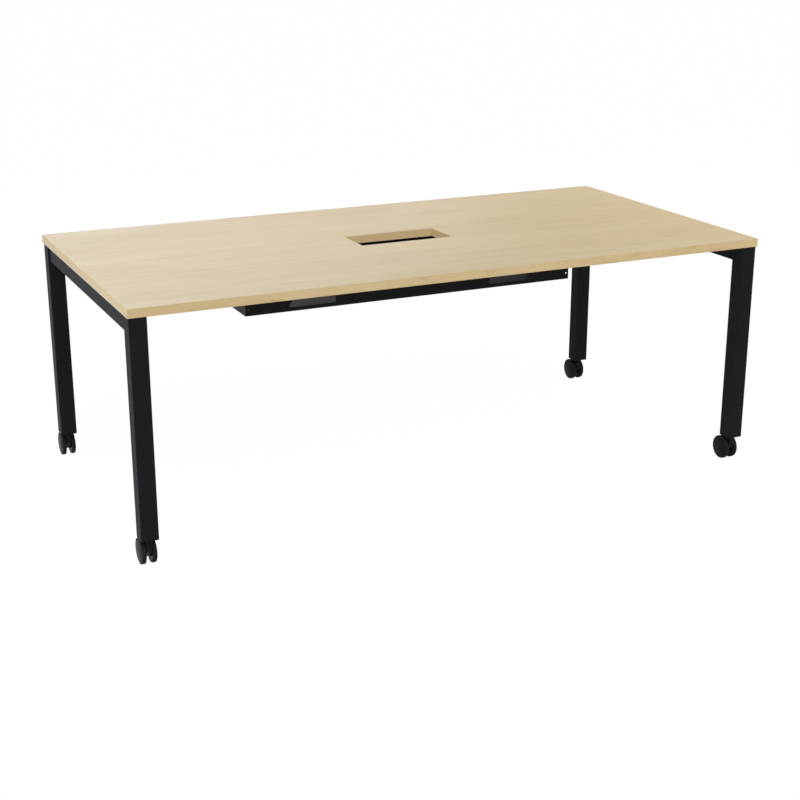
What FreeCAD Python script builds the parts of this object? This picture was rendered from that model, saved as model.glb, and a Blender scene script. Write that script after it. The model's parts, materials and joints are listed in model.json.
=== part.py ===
import FreeCAD, Part
import math
import os

# Office table on casters: a wood-decor top on two welded end frames, which two long beams join.
# A cable cut-out opens in the middle of the top, above a folded steel cable tray.
# Millimetres. +X runs along the table, +Y to its back and +Z up.
# The origin is on the floor, under the middle of the top.

# Top panel
top_length = 2000.0
top_depth = 1000.0
top_height = 735.0
top_thickness = 25.0
top_corner_round = 2.0
band_thickness = 2.0
band_round = 1.0
cutout_length = 304.0
cutout_depth = 138.0
cutout_band_thickness = 1.0

# Legs and end rails
leg_width = 50.0
leg_depth = 50.0
leg_wall = 2.0
leg_round = 3.0
leg_inset_end = 3.5
leg_inset_side = 3.5
leg_foot_height = 82.5
rail_width = 40.0
rail_height = 50.0
rail_wall = 2.0
rail_round = 3.0

# Long beams with their end plates, bolts and weld nuts
beam_width = 30.0
beam_height = 50.0
beam_wall = 2.0
beam_round = 3.0
beam_offset = 185.0
plate_thickness = 5.0
plate_length = 92.0
plate_height = 44.0
plate_round = 6.0
bolt_radius = 4.0
bolt_reach = 16.0
bolt_spacing = 64.0
bolt_head_across_flats = 13.0
bolt_head_height = 5.5
bolt_flange_radius = 8.5
bolt_flange_height = 1.6
bolt_hole_clearance = 0.25
nut_across_flats = 13.0
nut_height = 6.5
thread_clearance = 0.05

# Lugs under the top and wood screws
lug_length = 40.0
lug_reach = 22.0
lug_thickness = 3.0
lug_round = 5.0
beam_lug_places = (250.0, 750.0)
rail_lug_places = (0.0, 330.0)
screw_radius = 2.25
screw_reach = 18.0
screw_tip_height = 3.0
screw_head_radius = 4.5
screw_head_height = 2.8
screw_head_round = 1.6
screw_slot_width = 1.1
screw_slot_length = 5.0
screw_slot_depth = 1.4
screw_hole_clearance = 0.3
pilot_clearance = 0.05
pilot_spare_depth = 1.0

# Cable tray
tray_length = 1100.0
tray_width = 244.0
tray_drop = 140.0
tray_sheet = 1.5
tray_bend = 1.5
tray_flange = 20.0
tray_screw_inset = 40.0
tray_screws_per_side = 5
window_inner = 262.0
window_outer_low = 414.0
window_outer_high = 362.0
window_sill = 13.0
window_height = 92.0
window_round = 2.0
back_post_width = 20.0
tray_hole_radius = 2.5
tray_hole_end_distance = 8.5
tray_hole_rise = 20.0

# Foot plugs and casters
plug_flange = 3.0
plug_reach = 40.0
plug_clearance = 0.3
stem_radius = 5.0
stem_thread_reach = 32.0
stem_pin_reach = 29.0
stem_collar_radius = 11.0
stem_collar_height = 3.0
stem_tip_chamfer = 1.0
washer_radius = 10.0
washer_height = 1.5
swivel_gap = 0.2
running_clearance = 0.06
caster_trail = 24.0
wheel_radius = 37.5
wheel_spacing = 30.0
tyre_width = 12.0
tyre_depth = 5.0
tyre_round = 2.0
rim_step = 0.5
dome_height = 3.0
hub_radius = 9.5
hub_side_gap = 0.3
dish_depth = 3.5
dish_radius = 20.0
axle_radius = 4.0
axle_half_length = 19.0
axle_end_gap = 0.3
axle_seat_clearance = 0.02
housing_width = 16.0
housing_depth = 22.0
housing_heel_height = 46.0
housing_nose_radius = 18.0
housing_round = 1.5
housing_cap_radius = 12.5
housing_cap_height = 4.0
stem_bore_spare_depth = 1.5

# Every cut runs this far past the faces that it goes through
overrun = 5.0
parallel_tolerance = 1e-6

# Places worked out from the sizes above
half_length = top_length / 2
half_depth = top_depth / 2
underside = top_height - top_thickness
leg_x = half_length - leg_inset_end - leg_width / 2
leg_y = half_depth - leg_inset_side - leg_depth / 2
rail_low = underside - rail_height
rail_face = leg_x - rail_width / 2
beam_end = rail_face - plate_thickness
tray_bottom = underside - tray_drop
axis_x = FreeCAD.Vector(1, 0, 0)
axis_y = FreeCAD.Vector(0, 1, 0)
axis_z = FreeCAD.Vector(0, 0, 1)
ends = {"left": -1, "right": 1}
rows = {"front": -1, "back": 1}


def block(low, high):
    """Box between two opposite corners, given in any order."""
    corner = [min(pair) for pair in zip(low, high)]
    size = [abs(b - a) for a, b in zip(low, high)]
    return Part.makeBox(*size, FreeCAD.Vector(*corner))


def edges_along(shape, axis):
    """Straight edges of a shape that run along an axis."""
    picked = []
    for edge in shape.Edges:
        straight = isinstance(edge.Curve, (Part.Line, Part.LineSegment))
        if straight and abs(edge.Curve.Direction.dot(axis)) > 1 - parallel_tolerance:
            picked.append(edge)
    return picked


def rounded_block(low, high, axis, radius):
    """Box whose edges along one axis are rounded."""
    solid = block(low, high)
    if radius > 0:
        solid = solid.makeFillet(radius, edges_along(solid, axis))
    return solid


def tube(low, high, axis, wall, radius):
    """Rectangular tube between its low and high corners, open at both ends of its axis."""
    inset = [-overrun if along else wall for along in axis]
    inner_low = [a + step for a, step in zip(low, inset)]
    inner_high = [b - step for b, step in zip(high, inset)]
    outer = rounded_block(low, high, axis, radius)
    return outer.cut(rounded_block(inner_low, inner_high, axis, max(radius - wall, 0)))


def hexagon(across_flats, height, base, axis):
    """Hexagonal prism that stands on a point and grows along an axis."""
    corner_radius = across_flats / math.sqrt(3)
    turn = FreeCAD.Rotation(axis_z, axis)
    points = []
    for step in range(7):
        angle = math.radians(60 * step)
        flat = FreeCAD.Vector(corner_radius * math.cos(angle), corner_radius * math.sin(angle), 0)
        points.append(base + turn.multVec(flat))
    return Part.Face(Part.makePolygon(points)).extrude(axis * height)


def rod(radius, length, base, axis):
    """Round bar that starts at a point and grows along an axis."""
    return Part.makeCylinder(radius, length, base, axis)


def save(node, solids):
    """Writes one node, which is one solid or a group of like solids."""
    shape = Part.makeCompound(solids) if isinstance(solids, list) else solids
    shape.exportStep("parts/" + node + ".step")


# Fastener places under the top
def beam_lugs():
    """Centre of each beam lug's root, with the way that the lug points."""
    places = []
    for row in rows.values():
        for end in ends.values():
            for along in beam_lug_places:
                root = row * (beam_offset + beam_width / 2)
                places.append((FreeCAD.Vector(end * along, root, underside), axis_y * row))
    return places


def rail_lugs():
    """Centre of each rail lug's root, with the way that the lug points."""
    places = []
    for end in ends.values():
        for across in rail_lug_places:
            for row in rows.values() if across else (1,):
                places.append((FreeCAD.Vector(end * rail_face, row * across, underside), axis_x * -end))
    return places


def lug_screw_places():
    """Middle of each lug, where its wood screw goes."""
    return [root + way * (lug_reach / 2) for root, way in beam_lugs() + rail_lugs()]


def tray_screw_places():
    """Middle of the tray's flanges, evenly spaced between the end screws."""
    places = []
    first = tray_length / 2 - tray_screw_inset
    step = 2 * first / (tray_screws_per_side - 1)
    for row in rows.values():
        for index in range(tray_screws_per_side):
            across = row * (tray_width / 2 + tray_flange / 2)
            places.append(FreeCAD.Vector(step * index - first, across, underside))
    return places


# Top panel and its bands
def top_slab():
    """The whole top with its rounded edges, before it is parted into panel and bands."""
    slab = rounded_block((-half_length, -half_depth, underside), (half_length, half_depth, top_height),
                         axis_z, top_corner_round)
    rims = [edge for edge in slab.Edges if abs(edge.tangentAt(edge.FirstParameter).z) < parallel_tolerance]
    return slab.makeFillet(band_round, rims)


def cutout(margin, past):
    """Block of the cable cut-out, wider by a margin, that runs past both faces of the top."""
    low = (-cutout_length / 2 - margin, -cutout_depth / 2 - margin, underside - past)
    high = (cutout_length / 2 + margin, cutout_depth / 2 + margin, top_height + past)
    return block(low, high)


def pilot_holes():
    """Blind holes for the wood screws in the panel's underside."""
    radius = screw_radius + pilot_clearance
    holes = []
    for places, grip in ((lug_screw_places(), lug_thickness), (tray_screw_places(), tray_sheet)):
        depth = screw_reach - grip + pilot_spare_depth
        for place in places:
            holes.append(rod(radius, depth + overrun, place - axis_z * overrun, axis_z))
    return holes


def build_top():
    """Panel core, four edge bands and the band that lines the cut-out."""
    slab = top_slab()
    inner_x = half_length - band_thickness
    inner_y = half_depth - band_thickness
    low, high = underside - overrun, top_height + overrun
    core = slab.common(block((-inner_x, -inner_y, low), (inner_x, inner_y, high)))
    core = core.cut([cutout(cutout_band_thickness, overrun)] + pilot_holes())
    save("top_panel", core)
    for name, row in rows.items():
        outer = row * (half_depth + overrun)
        strip = block((-half_length - overrun, row * inner_y, low), (half_length + overrun, outer, high))
        save("edge_band_" + name, slab.common(strip))
    for name, end in ends.items():
        outer = end * (half_length + overrun)
        strip = block((end * inner_x, -inner_y, low), (outer, inner_y, high))
        save("edge_band_" + name, slab.common(strip))
    save("cutout_band", cutout(cutout_band_thickness, 0).cut(cutout(0, overrun)))


# Steel frame
def build_end_frames():
    """Two legs and the rail welded between them, at each end."""
    for row_name, row in rows.items():
        for end_name, end in ends.items():
            low = (end * leg_x - leg_width / 2, row * leg_y - leg_depth / 2, leg_foot_height + plug_flange)
            high = (end * leg_x + leg_width / 2, row * leg_y + leg_depth / 2, underside)
            save("leg_" + row_name + "_" + end_name, tube(low, high, axis_z, leg_wall, leg_round))
    rail_half = leg_y - leg_depth / 2
    holes = bolt_holes(bolt_radius + bolt_hole_clearance)
    for name, end in ends.items():
        low = (end * leg_x - rail_width / 2, -rail_half, rail_low)
        high = (end * leg_x + rail_width / 2, rail_half, underside)
        save("end_rail_" + name, tube(low, high, axis_y, rail_wall, rail_round).cut(holes))


def bolt_seats():
    """Point under each bolt's head on the plate's inner face, with the way that the bolt goes in."""
    seats = []
    for row in rows.values():
        for end in ends.values():
            for side in (-1, 1):
                across = row * beam_offset + side * bolt_spacing / 2
                height = underside - rail_height / 2
                seats.append((FreeCAD.Vector(end * beam_end, across, height), axis_x * end))
    return seats


def bolt_holes(radius):
    """A round cut through the plate and the rail's inner wall at each bolt."""
    depth = plate_thickness + rail_wall + overrun
    return [rod(radius, depth + overrun, seat - way * overrun, way) for seat, way in bolt_seats()]


def build_beams():
    """Long beams, their welded end plates, and the bolts and weld nuts that hold them to the rails."""
    holes = bolt_holes(bolt_radius + bolt_hole_clearance)
    for row_name, row in rows.items():
        low = (-beam_end, row * beam_offset - beam_width / 2, underside - beam_height)
        high = (beam_end, row * beam_offset + beam_width / 2, underside)
        save("long_beam_" + row_name, tube(low, high, axis_x, beam_wall, beam_round))
        for end_name, end in ends.items():
            middle = underside - rail_height / 2
            low = (end * beam_end, row * beam_offset - plate_length / 2, middle - plate_height / 2)
            high = (end * rail_face, row * beam_offset + plate_length / 2, middle + plate_height / 2)
            plate = rounded_block(low, high, axis_x, plate_round)
            save("beam_plate_" + row_name + "_" + end_name, plate.cut(holes))
    bolts = []
    nuts = []
    for seat, way in bolt_seats():
        head_base = seat - way * bolt_flange_height
        head = hexagon(bolt_head_across_flats, bolt_head_height - bolt_flange_height, head_base, way * -1)
        flange = rod(bolt_flange_radius, bolt_flange_height, head_base, way)
        bolts.append(rod(bolt_radius, bolt_reach, seat, way).fuse([flange, head]).removeSplitter())
        nut_base = seat + way * (plate_thickness + rail_wall)
        nut = hexagon(nut_across_flats, nut_height, nut_base, way)
        nut_depth = nut_height + 2 * overrun
        nut_hole = rod(bolt_radius + thread_clearance, nut_depth, nut_base - way * overrun, way)
        nuts.append(nut.cut(nut_hole))
    save("beam_bolts", bolts)
    save("weld_nuts", nuts)


def lug(root, way):
    """Flat lug with a screw hole, welded at its root to a beam or rail."""
    side = axis_z.cross(way)
    near = root - side * (lug_length / 2)
    far = root + side * (lug_length / 2) + way * lug_reach - axis_z * lug_thickness
    plate = block(near, far)
    tips = []
    for edge in edges_along(plate, axis_z):
        if (edge.CenterOfMass - root).dot(way) > lug_reach / 2:
            tips.append(edge)
    plate = plate.makeFillet(lug_round, tips)
    hole_base = root + way * (lug_reach / 2) - axis_z * (lug_thickness + overrun)
    hole = rod(screw_radius + screw_hole_clearance, lug_thickness + 2 * overrun, hole_base, axis_z)
    return plate.cut(hole)


def wood_screw(seat):
    """Pan-head screw that points up, with its head's upper face at the seat."""
    shank_length = screw_reach - screw_tip_height
    shank = rod(screw_radius, shank_length, seat, axis_z)
    tip_base = seat + axis_z * shank_length
    tip = Part.makeCone(screw_radius, 0, screw_tip_height, tip_base, axis_z)
    head = rod(screw_head_radius, screw_head_height, seat, axis_z * -1)
    rims = [edge for edge in head.Edges if edge.BoundBox.ZMax < seat.z - screw_head_height / 2]
    head = head.makeFillet(screw_head_round, rims)
    screw = head.fuse([shank, tip])
    slot_low = seat.z - screw_head_height - overrun
    slot_high = seat.z - screw_head_height + screw_slot_depth
    for reach_x, reach_y in ((screw_slot_length, screw_slot_width), (screw_slot_width, screw_slot_length)):
        low = (seat.x - reach_x / 2, seat.y - reach_y / 2, slot_low)
        high = (seat.x + reach_x / 2, seat.y + reach_y / 2, slot_high)
        screw = screw.cut(block(low, high))
    return screw


def build_top_fixings():
    """Lugs on the beams and rails, and the wood screws that hold the top to them."""
    save("beam_lugs", [lug(root, way) for root, way in beam_lugs()])
    save("rail_lugs", [lug(root, way) for root, way in rail_lugs()])
    save("top_screws", [wood_screw(place - axis_z * lug_thickness) for place in lug_screw_places()])
    save("tray_screws", [wood_screw(place - axis_z * tray_sheet) for place in tray_screw_places()])


# Cable tray
def tray_profile():
    """Folded section of the tray across the table: floor, two walls and two out-turned flanges."""
    wall = tray_width / 2
    tip = wall + tray_flange
    inner = wall - tray_sheet
    flange_low = underside - tray_sheet
    floor = tray_bottom + tray_sheet
    right = [(wall, tray_bottom), (wall, flange_low), (tip, flange_low), (tip, underside),
             (inner, underside), (inner, floor)]
    left = [(-y, z) for y, z in reversed(right)]
    points = [FreeCAD.Vector(-tray_length / 2, y, z) for y, z in right + left + right[:1]]
    return Part.Face(Part.makePolygon(points)).extrude(axis_x * tray_length)


def round_folds(tray):
    """Rounds the four folds of the tray, tighter inside each fold than outside."""
    wall = tray_width / 2
    inner = wall - tray_sheet
    outside = tray_bend + tray_sheet
    folds = [(wall, tray_bottom, outside), (inner, tray_bottom + tray_sheet, tray_bend),
             (wall, underside - tray_sheet, tray_bend), (inner, underside, outside)]
    for across, height, radius in folds:
        picked = []
        for edge in edges_along(tray, axis_x):
            off_y = abs(abs(edge.CenterOfMass.y) - across)
            off_z = abs(edge.CenterOfMass.z - height)
            if max(off_y, off_z) < tray_sheet / 4:
                picked.append(edge)
        tray = tray.makeFillet(radius, picked)
    return tray


def wall_cut(outline, wall):
    """Prism of an outline of points along and up the table, which cuts one wall of the tray."""
    start = wall * tray_width / 2 - overrun
    points = [FreeCAD.Vector(along, start, height) for along, height in outline + outline[:1]]
    prism = Part.Face(Part.makePolygon(points)).extrude(axis_y * 2 * overrun)
    return prism.makeFillet(window_round, edges_along(prism, axis_y))


def mirrored_cuts(right, wall):
    """Cuts of one wall at both ends of the tray, from the outline at the right end."""
    return [wall_cut([(end * along, height) for along, height in right], wall) for end in ends.values()]


def front_windows():
    """Cuts for the two cable windows in the front wall, which slant towards the tray's ends."""
    low = tray_bottom + window_sill
    high = low + window_height
    right = [(window_inner, low), (window_outer_low, low), (window_outer_high, high), (window_inner, high)]
    return mirrored_cuts(right, rows["front"])


def back_slots():
    """Cuts for the two long cable slots in the back wall, which leave posts at the ends and the middle."""
    low = tray_bottom + window_sill
    high = low + window_height
    near = back_post_width / 2
    far = tray_length / 2 - 2 * tray_hole_end_distance
    right = [(near, low), (far, low), (far, high), (near, high)]
    return mirrored_cuts(right, rows["back"])


def build_tray():
    """Cable tray with its windows, back slots, end holes and screw holes."""
    cuts = front_windows() + back_slots()
    for end in ends.values():
        along = end * (tray_length / 2 - tray_hole_end_distance)
        base = FreeCAD.Vector(along, -tray_width / 2 - overrun, tray_bottom + tray_hole_rise)
        cuts.append(rod(tray_hole_radius, tray_width + 2 * overrun, base, axis_y))
    for place in tray_screw_places():
        base = place - axis_z * (tray_sheet + overrun)
        cuts.append(rod(screw_radius + screw_hole_clearance, tray_sheet + 2 * overrun, base, axis_z))
    save("cable_tray", round_folds(tray_profile()).cut(cuts))


# Feet and casters, each modelled about the leg's axis at floor level and then moved there
def foot_plug():
    """Plastic plug that closes the leg's lower end and holds the caster's threaded stem."""
    low = (-leg_width / 2, -leg_depth / 2, leg_foot_height)
    high = (leg_width / 2, leg_depth / 2, leg_foot_height + plug_flange)
    flange = rounded_block(low, high, axis_z, leg_round)
    reach_x = leg_width / 2 - leg_wall - plug_clearance
    reach_y = leg_depth / 2 - leg_wall - plug_clearance
    seat = leg_foot_height + plug_flange
    body = rounded_block((-reach_x, -reach_y, seat), (reach_x, reach_y, seat + plug_reach), axis_z,
                         max(leg_round - leg_wall, 0))
    bore_base = axis_z * (leg_foot_height - overrun)
    bore = rod(stem_radius + thread_clearance, plug_flange + plug_reach + 2 * overrun, bore_base, axis_z)
    return flange.fuse(body).cut(bore).removeSplitter()


def caster_stem():
    """Steel stem: a thread up into the plug, a collar under it and a plain pin for the swivel."""
    collar_low = axis_z * (leg_foot_height - stem_collar_height)
    thread = rod(stem_radius, stem_thread_reach, axis_z * leg_foot_height, axis_z)
    collar = rod(stem_collar_radius, stem_collar_height, collar_low, axis_z)
    pin = rod(stem_radius, stem_pin_reach, collar_low, axis_z * -1)
    tips = []
    for bar, level in ((thread, leg_foot_height + stem_thread_reach), (pin, collar_low.z - stem_pin_reach)):
        for edge in bar.Edges:
            if abs(edge.CenterOfMass.z - level) < stem_tip_chamfer / 2 and edge.Closed:
                tips.append((bar, edge))
    thread, pin = [bar.makeChamfer(stem_tip_chamfer, [edge]) for bar, edge in tips]
    return collar.fuse([thread, pin]).removeSplitter()


def thrust_washer():
    """Plain washer between the stem's collar and the housing."""
    low = axis_z * (leg_foot_height - stem_collar_height - washer_height)
    hole = rod(stem_radius + running_clearance, washer_height + 2 * overrun, low - axis_z * overrun, axis_z)
    return rod(washer_radius, washer_height, low, axis_z).cut(hole)


def touch_angle(point, centre, radius, side):
    """Angle on a circle, in the YZ plane, where a line from a point touches it on one side."""
    away = point - centre
    return math.atan2(away.z, away.y) + side * math.acos(radius / away.Length)


def rim_point(centre, radius, angle):
    """Point of a circle in the YZ plane."""
    return centre + FreeCAD.Vector(0, radius * math.cos(angle), radius * math.sin(angle))


def housing_blank(top):
    """Side outline of the housing, from the swivel down and back to the round nose at the axle."""
    start = axis_x * (-housing_width / 2)
    centre = start + FreeCAD.Vector(0, caster_trail, wheel_radius)
    front_top = start + FreeCAD.Vector(0, -housing_depth / 2, top)
    heel = start + FreeCAD.Vector(0, -housing_depth / 2, housing_heel_height)
    back_top = start + FreeCAD.Vector(0, housing_depth / 2, top)
    low_angle = touch_angle(heel, centre, housing_nose_radius, 1)
    high_angle = touch_angle(back_top, centre, housing_nose_radius, -1) + 2 * math.pi
    low_touch, nose, high_touch = [
        rim_point(centre, housing_nose_radius, angle)
        for angle in (low_angle, (low_angle + high_angle) / 2, high_angle)
    ]
    edges = [Part.LineSegment(front_top, heel), Part.LineSegment(heel, low_touch),
             Part.Arc(low_touch, nose, high_touch), Part.LineSegment(high_touch, back_top),
             Part.LineSegment(back_top, front_top)]
    blank = Part.Face(Part.Wire([edge.toShape() for edge in edges])).extrude(axis_x * housing_width)
    rims = []
    for edge in blank.Edges:
        on_side = abs(abs(edge.CenterOfMass.x) - housing_width / 2) < parallel_tolerance
        if on_side and edge.BoundBox.ZMin < top - housing_cap_height:
            rims.append(edge)
    return blank.makeFillet(housing_round, rims)


def caster_housing():
    """Narrow housing between the wheels, which swivels on the stem and carries the axle."""
    top = leg_foot_height - stem_collar_height - washer_height - swivel_gap
    cap = rod(housing_cap_radius, housing_cap_height, axis_z * (top - housing_cap_height), axis_z)
    pin_end = leg_foot_height - stem_collar_height - stem_pin_reach
    bore_low = pin_end - stem_bore_spare_depth
    bore = rod(stem_radius + running_clearance, top - bore_low + overrun, axis_z * bore_low, axis_z)
    seat_base = FreeCAD.Vector(-housing_width / 2 - overrun, caster_trail, wheel_radius)
    seat = rod(axle_radius + axle_seat_clearance, housing_width + 2 * overrun, seat_base, axis_x)
    return housing_blank(top).fuse(cap).cut([bore, seat]).removeSplitter()


def axle():
    """Steel pin that crosses the housing and carries both wheels."""
    base = FreeCAD.Vector(-axle_half_length, caster_trail, wheel_radius)
    return rod(axle_radius, 2 * axle_half_length, base, axis_x)


def spun(outline, side):
    """Turns a closed outline of (axial, radial) edges about the axle, on one side of the housing."""
    solid = Part.Face(Part.Wire([edge.toShape() for edge in outline])).revolve(
        FreeCAD.Vector(), axis_x, 360)
    if side < 0:
        solid = solid.mirror(FreeCAD.Vector(), axis_x)
    return solid.translated(FreeCAD.Vector(0, caster_trail, wheel_radius))


def profile_point(axial, radial):
    """Point of a wheel's outline: its distance from the middle plane and from the axle's line."""
    return FreeCAD.Vector(axial, 0, radial)


def path(points):
    """Straight edges through a list of points."""
    return [Part.LineSegment(a, b) for a, b in zip(points, points[1:])]


def wheel_core(side):
    """Wheel body with a domed outer face, a dished inner face and a blind axle bore."""
    rim_radius = wheel_radius - tyre_depth
    inner = wheel_spacing / 2 - tyre_width / 2 + rim_step
    outer = wheel_spacing / 2 + tyre_width / 2 - rim_step
    hub_face = housing_width / 2 + hub_side_gap
    bore_radius = axle_radius + running_clearance
    bore_end = axle_half_length + axle_end_gap
    dome_radius = (rim_radius ** 2 + dome_height ** 2) / (2 * dome_height)
    dome_centre = outer + dome_height - dome_radius
    half_way = rim_radius / 2
    crown = dome_centre + math.sqrt(dome_radius ** 2 - half_way ** 2)
    apex = profile_point(outer + dome_height, 0)
    rim = profile_point(outer, rim_radius)
    inside = [apex, profile_point(bore_end, 0), profile_point(bore_end, bore_radius),
              profile_point(hub_face, bore_radius), profile_point(hub_face, hub_radius),
              profile_point(inner + dish_depth, hub_radius), profile_point(inner + dish_depth, dish_radius),
              profile_point(inner, dish_radius), profile_point(inner, rim_radius), rim]
    return spun(path(inside) + [Part.Arc(rim, profile_point(crown, half_way), apex)], side)


def tyre(side):
    """Tread ring with rounded shoulders that fits round the wheel body."""
    inner = wheel_spacing / 2 - tyre_width / 2
    outer = wheel_spacing / 2 + tyre_width / 2
    seat = wheel_radius - tyre_depth
    shoulder = wheel_radius - tyre_round
    bulge = tyre_round * math.sqrt(0.5)
    outer_side = profile_point(outer, shoulder)
    outer_tread = profile_point(outer - tyre_round, wheel_radius)
    inner_tread = profile_point(inner + tyre_round, wheel_radius)
    inner_side = profile_point(inner, shoulder)
    outline = path([inner_side, profile_point(inner, seat), profile_point(outer, seat), outer_side])
    outer_middle = profile_point(outer - tyre_round + bulge, shoulder + bulge)
    outline.append(Part.Arc(outer_side, outer_middle, outer_tread))
    outline += path([outer_tread, inner_tread])
    inner_middle = profile_point(inner + tyre_round - bulge, shoulder + bulge)
    outline.append(Part.Arc(inner_tread, inner_middle, inner_side))
    return spun(outline, side)


def build_casters():
    """Plug, stem and twin-wheel caster at the foot of each leg."""
    washers = []
    for row_name, row in rows.items():
        for end_name, end in ends.items():
            corner = row_name + "_" + end_name
            foot = FreeCAD.Vector(end * leg_x, row * leg_y, 0)
            save("foot_plug_" + corner, foot_plug().translated(foot))
            save("caster_stem_" + corner, caster_stem().translated(foot))
            save("caster_housing_" + corner, caster_housing().translated(foot))
            save("caster_axle_" + corner, axle().translated(foot))
            washers.append(thrust_washer().translated(foot))
            for side_name, side in ends.items():
                save("wheel_" + corner + "_" + side_name, wheel_core(side).translated(foot))
                save("tyre_" + corner + "_" + side_name, tyre(side).translated(foot))
    save("thrust_washers", washers)


os.makedirs("parts", exist_ok=True)
build_top()
build_end_frames()
build_beams()
build_top_fixings()
build_tray()
build_casters()
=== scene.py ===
import json
import math
import bpy
from mathutils import Color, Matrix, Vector

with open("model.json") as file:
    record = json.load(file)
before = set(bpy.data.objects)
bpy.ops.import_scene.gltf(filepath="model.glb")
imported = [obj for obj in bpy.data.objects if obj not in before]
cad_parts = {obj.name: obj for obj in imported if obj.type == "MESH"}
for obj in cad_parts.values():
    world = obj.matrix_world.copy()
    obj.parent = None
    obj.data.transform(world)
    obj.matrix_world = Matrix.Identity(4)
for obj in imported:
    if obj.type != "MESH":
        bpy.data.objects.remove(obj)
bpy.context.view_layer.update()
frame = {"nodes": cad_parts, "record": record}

# Camera: where the photograph was taken from, in metres, and the lens and sensor in millimetres
camera_place = Vector((-1.9245, -4.1249, 1.7231))
camera_forward = Vector((0.40212, 0.85866, -0.31780))
camera_lens = 66.78
camera_sensor = 36.0

# Stage: the floor's share of glow makes it read white and leaves the rest to show the shadow
floor_half_size = 30.0
floor_grey = 0.97
floor_glow_share = 0.955
floor_glow_strength = 1.025
ambient_strength = 0.12

# Soft lamps: name, place, aim, width, height, power in watts, spread in degrees
lamps = (
    ("right_top", (1.9, 0.2, 3.0), (1.9, 0.2, 0.7), 2.0, 2.0, 11.0, 180.0),
    ("right_side", (4.5, -1.5, 2.6), (0.5, 0.0, 0.7), 3.0, 2.5, 40.0, 180.0),
    ("left_side", (-4.5, -0.5, 1.6), (-0.9, 0.0, 0.6), 3.0, 2.0, 26.0, 120.0),
    ("back_softbox", (1.25, 6.0, 2.3), (1.25, 0.0, 2.3), 4.5, 4.0, 27.0, 70.0),
)

# Front key: an even light from this direction, with its apparent width in degrees
sun_place = Vector((-0.6, -3.4, 2.9))
sun_strength = 1.5
sun_width = 50.0

# Levels between which nearly all of a noise lies
noise_levels = (0.3, 0.7)

# Wood decor: display colours of its ground, figure and streaks
wood_shades = {"pale": (231, 208, 159), "honey": (222, 196, 147), "brown": (207, 179, 128)}

# Wood grain, coarse to fine: waves per metre along and across it, then detail, roughness, distortion
grain_waves = {
    "tone": (0.5, 4.0, 2.0, 0.5, 0.0),
    "figure": (1.1, 12.0, 3.0, 0.5, 0.9),
    "streak": (3.6, 44.0, 4.0, 0.6, 0.25),
    "fibre": (16.0, 620.0, 3.0, 0.6, 0.0),
    "pore": (45.0, 1500.0, 1.0, 0.5, 0.0),
}
pore_levels = (0.62, 0.75)

# Marks that the grain leaves: the noise levels where one starts and is full, its share, its shade
grain_marks = {
    "figure": ((0.45, 0.75), 0.45, "honey"),
    "streak": ((0.48, 0.78), 0.42, "brown"),
    "fibre": ((0.5, 0.85), 0.3, "brown"),
    "pore": (pore_levels, 0.3, "brown"),
}
grain_depth = 0.00005
grain_strength = 0.5

# Powder coat: waves per metre of its grain and clouds, and levels added to its shade
coat_grain = 1400.0
coat_cloud = 6.0
coat_cloud_shares = (0.2, 0.8)
coat_dark_steps = (0, 1, 3)
coat_light_steps = (4, 5, 8)
coat_roughness = (0.38, 0.5)
coat_sheen = (0.84, 0.91, 1.0, 1.0)
coat_depth = 0.00005
coat_strength = 0.6

# Moulded plastic: waves per metre of its grain and clouds, and levels added to its shade
plastic_grain = 2600.0
plastic_cloud = 35.0
plastic_dark_steps = (0, 0, 0)
plastic_light_steps = (10, 10, 11)
plastic_roughness = (0.34, 0.42)
plastic_gloss = 0.045
plastic_depth = 0.00003
plastic_strength = 0.5

# Tread rubber: waves per metre of its grain and scuffs, noise levels where a scuff starts and is full
rubber_grain = 1800.0
rubber_scuff = 90.0
rubber_scuff_levels = (0.5, 0.8)
rubber_shade = (33, 33, 33)
rubber_bloom = (45, 45, 44)
rubber_roughness = (0.6, 0.78)
rubber_gloss = 0.06
rubber_depth = 0.00006
rubber_strength = 0.6

# Zinc-plated steel: waves per metre of its clouds, and of its brushing along and across X
zinc_cloud = 120.0
zinc_brush = (300.0, 2400.0, 2400.0)
zinc_shades = ((176, 178, 180), (202, 201, 194))
zinc_roughness = (0.24, 0.4)
zinc_depth = 0.00002
zinc_strength = 0.4

# Nylon: waves per metre of its clouds, and its two shades
nylon_cloud = 160.0
nylon_shades = ((206, 203, 192), (222, 219, 210))
nylon_roughness = (0.42, 0.55)

# Plain white, and the axes that a wood grain runs along
white = (1.0, 1.0, 1.0, 1.0)
along_x = 0
along_y = 1


def colour(red, green, blue):
    """Display colour of 0 to 255 as the linear colour that a shader takes."""
    shares = [value / 255 for value in (red, green, blue)]
    return (*Color(shares).from_srgb_to_scene_linear(), 1.0)


def stepped(shade, steps):
    """A grey shade with a few levels added to its red, green and blue."""
    return colour(*[shade + step for step in steps])


def evenly(waves):
    """The same number of waves per metre along each axis."""
    return (waves, waves, waves)


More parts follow.
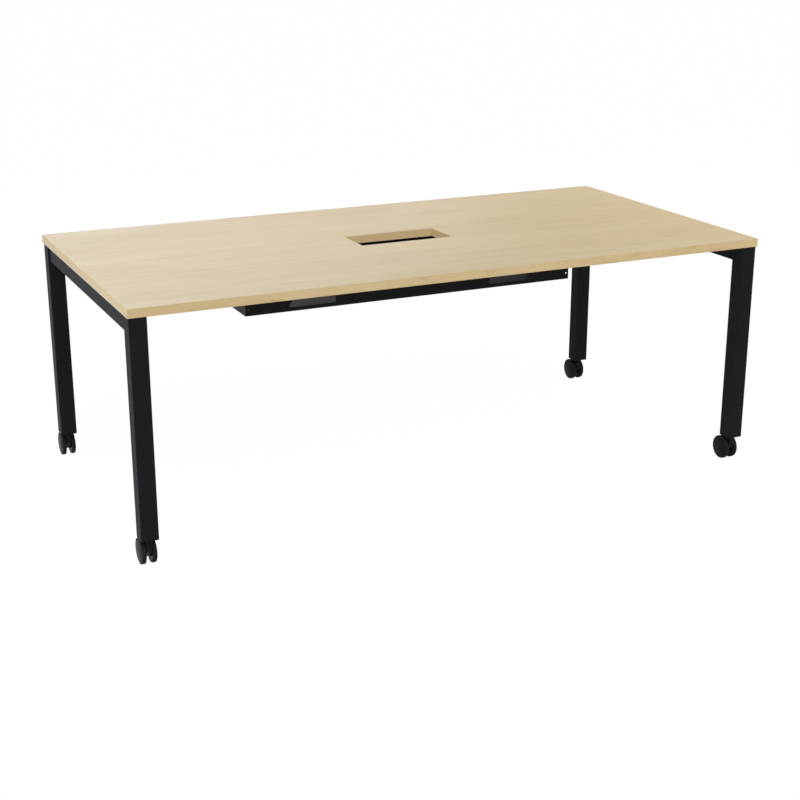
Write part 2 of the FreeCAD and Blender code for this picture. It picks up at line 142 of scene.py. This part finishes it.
class Recipe:
    """A material's node tree, with short ways to add nodes and join them."""

    def __init__(self, name):
        self.material = bpy.data.materials.new(name)
        self.material.use_nodes = True
        self.tree = self.material.node_tree
        self.shader = self.tree.nodes["Principled BSDF"]
        self.place = self.node("ShaderNodeTexCoord").outputs["Object"]

    def node(self, kind, **settings):
        made = self.tree.nodes.new(kind)
        for name, value in settings.items():
            setattr(made, name, value)
        return made

    def feed(self, socket, value):
        """Links a socket to another node's output, or sets it to a plain value."""
        if isinstance(value, bpy.types.NodeSocket):
            self.tree.links.new(value, socket)
        else:
            socket.default_value = value

    def noise(self, waves, detail=2.0, roughness=0.5, distortion=0.0):
        """Noise with its own number of waves per metre along each axis."""
        mapping = self.node("ShaderNodeMapping")
        self.feed(mapping.inputs["Vector"], self.place)
        mapping.inputs["Scale"].default_value = waves
        made = self.node("ShaderNodeTexNoise")
        self.feed(made.inputs["Vector"], mapping.outputs["Vector"])
        made.inputs["Scale"].default_value = 1.0
        made.inputs["Detail"].default_value = detail
        made.inputs["Roughness"].default_value = roughness
        made.inputs["Distortion"].default_value = distortion
        return made.outputs["Fac"]

    def spread(self, value, levels=noise_levels, to=(0.0, 1.0)):
        """Maps one range of a value to another, and holds it there."""
        made = self.node("ShaderNodeMapRange", interpolation_type="SMOOTHSTEP")
        self.feed(made.inputs["Value"], value)
        sockets = ("From Min", "From Max", "To Min", "To Max")
        for socket, level in zip(sockets, (*levels, *to)):
            made.inputs[socket].default_value = level
        return made.outputs["Result"]

    def minus(self, first, second):
        """One value less another."""
        made = self.node("ShaderNodeMath", operation="SUBTRACT")
        self.feed(made.inputs[0], first)
        self.feed(made.inputs[1], second)
        return made.outputs["Value"]

    def blend(self, share, first, second):
        """Colour between two colours."""
        made = self.node("ShaderNodeMix", data_type="RGBA")
        self.feed(made.inputs["Factor"], share)
        coloured = [socket for socket in made.inputs if socket.type == "RGBA"]
        for socket, value in zip(coloured, (first, second)):
            self.feed(socket, value)
        return next(socket for socket in made.outputs if socket.type == "RGBA")

    def bump(self, height, depth, strength):
        """Bumps the surface by a height of 0 to 1 times a depth in metres."""
        made = self.node("ShaderNodeBump")
        made.inputs["Strength"].default_value = strength
        made.inputs["Distance"].default_value = depth
        self.feed(made.inputs["Height"], height)
        self.feed(self.shader.inputs["Normal"], made.outputs["Normal"])

    def set(self, **values):
        """Sets the shader's sockets, named with spaces as underlines."""
        for name, value in values.items():
            self.feed(self.shader.inputs[name.replace("_", " ")], value)


def wood(name, along, length, contrast, roughness, gloss, lift=1.0):
    """Light wood decor whose grain runs along one axis. Its marks are length times as long and contrast
    times as strong as the plain grain's, and its shades are lift times as light."""
    recipe = Recipe(name)
    waves = {}
    for layer, (long_waves, cross_waves, *character) in grain_waves.items():
        stretch = list(evenly(cross_waves))
        stretch[along] = long_waves / length
        waves[layer] = recipe.noise(stretch, *character)
    shades = {}
    for shade, levels in wood_shades.items():
        shades[shade] = colour(*[lift * level for level in levels])
    body = recipe.blend(recipe.spread(waves["tone"]), shades["pale"], shades["honey"])
    for layer, (levels, share, shade) in grain_marks.items():
        mark = recipe.spread(waves[layer], levels, (0.0, share * contrast))
        body = recipe.blend(mark, body, shades[shade])
    recipe.set(Base_Color=body, Roughness=recipe.spread(waves["streak"], to=roughness),
               Specular_IOR_Level=gloss)
    relief = recipe.minus(waves["fibre"], recipe.spread(waves["pore"], pore_levels))
    recipe.bump(relief, grain_depth, grain_strength)
    return recipe.material


def powder_coat(name, shade, gloss):
    """Fine-textured black powder coat on steel, with a cool sheen and a trace of dust."""
    recipe = Recipe(name)
    grain = recipe.noise(evenly(coat_grain), detail=3.0, roughness=0.6)
    cloud = recipe.noise(evenly(coat_cloud), detail=4.0)
    dark = stepped(shade, coat_dark_steps)
    light = stepped(shade, coat_light_steps)
    body = recipe.blend(recipe.spread(cloud, to=coat_cloud_shares), dark, light)
    recipe.set(Base_Color=body, Roughness=recipe.spread(grain, to=coat_roughness),
               Specular_IOR_Level=gloss, Specular_Tint=coat_sheen)
    recipe.bump(grain, coat_depth, coat_strength)
    return recipe.material


def moulded_plastic(name, shade):
    """Black moulded plastic with a fine spark-eroded grain."""
    recipe = Recipe(name)
    grain = recipe.noise(evenly(plastic_grain), detail=2.0)
    cloud = recipe.noise(evenly(plastic_cloud), detail=3.0)
    dark = stepped(shade, plastic_dark_steps)
    light = stepped(shade, plastic_light_steps)
    body = recipe.blend(recipe.spread(cloud), dark, light)
    recipe.set(Base_Color=body, Roughness=recipe.spread(grain, to=plastic_roughness),
               Specular_IOR_Level=plastic_gloss)
    recipe.bump(grain, plastic_depth, plastic_strength)
    return recipe.material


def tread_rubber(name):
    """Matt black tread with a faint scuffed bloom."""
    recipe = Recipe(name)
    grain = recipe.noise(evenly(rubber_grain), detail=3.0)
    scuff = recipe.noise(evenly(rubber_scuff), detail=5.0, roughness=0.65)
    scuffed = recipe.spread(scuff, rubber_scuff_levels)
    body = recipe.blend(scuffed, colour(*rubber_shade), colour(*rubber_bloom))
    recipe.set(Base_Color=body, Roughness=recipe.spread(scuff, to=rubber_roughness),
               Specular_IOR_Level=rubber_gloss)
    recipe.bump(grain, rubber_depth, rubber_strength)
    return recipe.material


def zinc_steel(name):
    """Zinc-plated steel with a brushed, slightly clouded surface."""
    recipe = Recipe(name)
    cloud = recipe.noise(evenly(zinc_cloud), detail=4.0)
    brush = recipe.noise(zinc_brush, detail=2.0)
    dark, light = (colour(*shade) for shade in zinc_shades)
    body = recipe.blend(recipe.spread(cloud), dark, light)
    recipe.set(Base_Color=body, Metallic=1.0, Roughness=recipe.spread(brush, to=zinc_roughness))
    recipe.bump(brush, zinc_depth, zinc_strength)
    return recipe.material


def nylon(name):
    """Natural nylon, a little cloudy."""
    recipe = Recipe(name)
    cloud = recipe.noise(evenly(nylon_cloud), detail=3.0)
    dark, light = (colour(*shade) for shade in nylon_shades)
    body = recipe.blend(recipe.spread(cloud), dark, light)
    recipe.set(Base_Color=body, Roughness=recipe.spread(cloud, to=nylon_roughness))
    return recipe.material


def dress():
    """Gives every node the material of its slot, or one of its own."""
    board = wood("board_decor", along_x, length=1.0, contrast=1.0,
                 roughness=(0.38, 0.44), gloss=0.25)
    lengthwise = wood("edge_lengthwise", along_x, length=0.35, contrast=2.0,
                      roughness=(0.5, 0.58), gloss=0.25)
    crosswise = wood("edge_crosswise", along_y, length=0.35, contrast=2.0,
                     roughness=(0.4, 0.46), gloss=0.5)
    # The lining is the board's wood lifted 1.055 times lighter: painted light, standing in for light that
    # falls short on the cut-out's inner walls
    lining = wood("cutout_lining", along_x, length=0.35, contrast=0.5,
                  roughness=(0.5, 0.58), gloss=0.25, lift=1.055)
    # The housings are a lighter copy of the caster plastic, shade 22 against 14: painted light that lifts
    # the shade between the wheels
    housing = moulded_plastic("housing_plastic", shade=22)
    materials = {
        "frame_paint": powder_coat("frame_paint", shade=31, gloss=0.018),
        "tray_paint": powder_coat("tray_paint", shade=35, gloss=0.035),
        "caster_plastic": moulded_plastic("caster_plastic", shade=14),
        "tyre_rubber": tread_rubber("tyre_rubber"),
        "bare_steel": zinc_steel("bare_steel"),
        "washer_nylon": nylon("washer_nylon"),
        "wood_decor": lengthwise,
    }
    special = {"top_panel": board, "cutout_band": lining,
               "edge_band_left": crosswise, "edge_band_right": crosswise}
    special.update({node: housing for node in frame["nodes"] if node.startswith("caster_housing")})
    slots = {part["node"]: part["material_slot"] for part in frame["record"]["subparts"]}
    for node, piece in frame["nodes"].items():
        piece.material_slots[0].material = special.get(node, materials[slots[node]])


def shown_to_eye(tree):
    """One for camera, glossy and transmission rays, which see the white studio, and zero for other rays."""
    path = tree.nodes.new("ShaderNodeLightPath")
    total = path.outputs["Is Camera Ray"]
    for name in ("Is Glossy Ray", "Is Transmission Ray"):
        either = tree.nodes.new("ShaderNodeMath")
        either.operation = "MAXIMUM"
        tree.links.new(total, either.inputs[0])
        tree.links.new(path.outputs[name], either.inputs[1])
        total = either.outputs["Value"]
    return total


def floor_material():
    """Pale matt floor with a glow that only the eye sees, just over white to make up for the matt share,
    and clear from below."""
    material = bpy.data.materials.new("floor_white")
    material.use_nodes = True
    tree = material.node_tree
    tree.nodes.clear()
    matt = tree.nodes.new("ShaderNodeBsdfDiffuse")
    matt.inputs["Color"].default_value = (floor_grey, floor_grey, floor_grey, 1.0)
    glow = tree.nodes.new("ShaderNodeEmission")
    glow.inputs["Strength"].default_value = floor_glow_strength
    share = tree.nodes.new("ShaderNodeMath")
    share.operation = "MULTIPLY"
    share.inputs[1].default_value = floor_glow_share
    tree.links.new(shown_to_eye(tree), share.inputs[0])
    from_above = tree.nodes.new("ShaderNodeMixShader")
    tree.links.new(share.outputs["Value"], from_above.inputs["Fac"])
    tree.links.new(matt.outputs["BSDF"], from_above.inputs[1])
    tree.links.new(glow.outputs["Emission"], from_above.inputs[2])
    side = tree.nodes.new("ShaderNodeNewGeometry")
    clear = tree.nodes.new("ShaderNodeBsdfTransparent")
    sided = tree.nodes.new("ShaderNodeMixShader")
    tree.links.new(side.outputs["Backfacing"], sided.inputs["Fac"])
    tree.links.new(from_above.outputs["Shader"], sided.inputs[1])
    tree.links.new(clear.outputs["BSDF"], sided.inputs[2])
    out = tree.nodes.new("ShaderNodeOutputMaterial")
    tree.links.new(sided.outputs["Shader"], out.inputs["Surface"])
    return material


def make_floor():
    """Large floor that shows almost white and keeps the object's shadow."""
    reach = floor_half_size
    corners = [(-reach, -reach, 0), (reach, -reach, 0), (reach, reach, 0), (-reach, reach, 0)]
    mesh = bpy.data.meshes.new("floor")
    mesh.from_pydata(corners, [], [(0, 1, 2, 3)])
    mesh.materials.append(floor_material())
    floor = bpy.data.objects.new("floor", mesh)
    bpy.context.scene.collection.objects.link(floor)


def make_world():
    """Even white studio: plain white to the eye, and much weaker as light."""
    world = bpy.data.worlds.new("studio")
    bpy.context.scene.world = world
    world.use_nodes = True
    tree = world.node_tree
    back = tree.nodes["Background"]
    back.inputs["Color"].default_value = white
    level = tree.nodes.new("ShaderNodeMapRange")
    level.inputs["To Min"].default_value = ambient_strength
    tree.links.new(shown_to_eye(tree), level.inputs["Value"])
    tree.links.new(level.outputs["Result"], back.inputs["Strength"])


def set_up(name, data, place, forward):
    """Puts a lamp or camera in the scene, looking along a direction with its top up."""
    made = bpy.data.objects.new(name, data)
    made.location = place
    made.rotation_mode = "QUATERNION"
    made.rotation_quaternion = forward.to_track_quat("-Z", "Y")
    bpy.context.scene.collection.objects.link(made)
    return made


def make_lamp(name, place, aim, width, height, power, spread):
    """Soft rectangular lamp, which the camera doesn't see."""
    light = bpy.data.lights.new(name, "AREA")
    light.shape = "RECTANGLE"
    light.size = width
    light.size_y = height
    light.energy = power
    light.spread = math.radians(spread)
    lamp = set_up(name, light, place, Vector(aim) - Vector(place))
    lamp.visible_camera = False


def make_sun():
    """Even light from the upper front, as soft as a large sheet."""
    light = bpy.data.lights.new("front_key", "SUN")
    light.energy = sun_strength
    light.angle = math.radians(sun_width)
    set_up("front_key", light, sun_place, -sun_place)


def make_camera():
    """Camera at the photograph's place and angle."""
    lens = bpy.data.cameras.new("camera")
    lens.lens = camera_lens
    lens.sensor_width = camera_sensor
    bpy.context.scene.camera = set_up("camera", lens, camera_place, camera_forward)


dress()
make_floor()
make_world()
for lamp_settings in lamps:
    make_lamp(*lamp_settings)
make_sun()
make_camera()
bpy.context.scene.view_settings.view_transform = "Standard"
